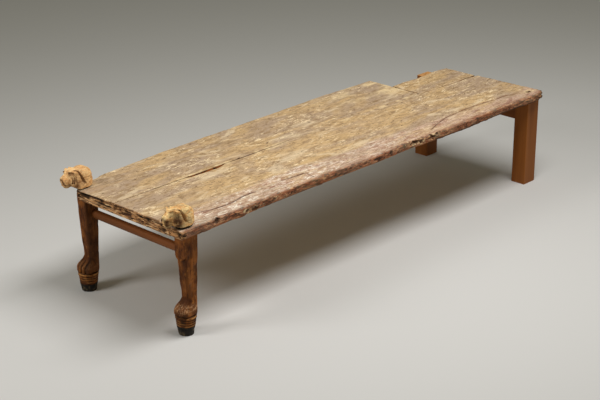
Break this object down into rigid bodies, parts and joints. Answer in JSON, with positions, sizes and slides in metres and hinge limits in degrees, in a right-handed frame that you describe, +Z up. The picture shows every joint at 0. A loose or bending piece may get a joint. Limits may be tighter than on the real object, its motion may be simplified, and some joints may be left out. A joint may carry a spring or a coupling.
{
  "type": "embalmers bed",
  "caption": "Low wooden embalming bed: a worn plank top with carved lion heads at one end, standing on carved lion legs and plain rear posts.",
  "frame": {"origin": "on the floor, under the middle of the whole bed's box", "axes": "+X along the bed to its foot end, the lion heads face -X; +Y to the far side; +Z up"},
  "size_m": [2.2505, 0.704, 0.5114],
  "materials": {
    "plank_wood": "ancient weathered timber, matt, pale flecks along the grain",
    "foot_plank_wood": "old timber, golden brown, matt",
    "batten_wood": "old timber, brown, matt",
    "near_head_wood": "carved timber, eroded and greyish brown, matt",
    "far_head_wood": "carved timber, warm tan, matt",
    "leg_wood": "carved timber, reddish brown, slightly glossy from handling",
    "post_wood": "plain modern timber, stained reddish brown, satin",
    "rail_wood": "plain modern timber, stained reddish brown, satin",
    "tenon_wood": "hardwood, dull",
    "peg_wood": "hardwood, dull",
    "screw_steel": "plain steel"
  },
  "bodies": {
    "root": {"near_plank": "plank_wood", "far_plank": "plank_wood", "foot_plank": "foot_plank_wood", "head_batten": "batten_wood", "near_lion_head": "near_head_wood", "far_lion_head": "far_head_wood", "near_lion_leg": "leg_wood", "far_lion_leg": "leg_wood", "near_leg_facing": "leg_wood", "front_rail": "rail_wood", "near_rear_post": "post_wood", "far_rear_post": "post_wood", "rear_cross_rail": "rail_wood", "rear_bearer": "rail_wood", "near_side_rail": "rail_wood", "far_side_rail": "rail_wood", "seam_tenons": "tenon_wood", "seam_tenon_pegs": "peg_wood", "foot_plank_tenons": "tenon_wood", "foot_plank_tenon_pegs": "peg_wood", "plank_end_tenon": "tenon_wood", "head_pins": "peg_wood", "batten_pegs": "peg_wood", "rail_screws": "screw_steel"}
  },
  "joints": []
}
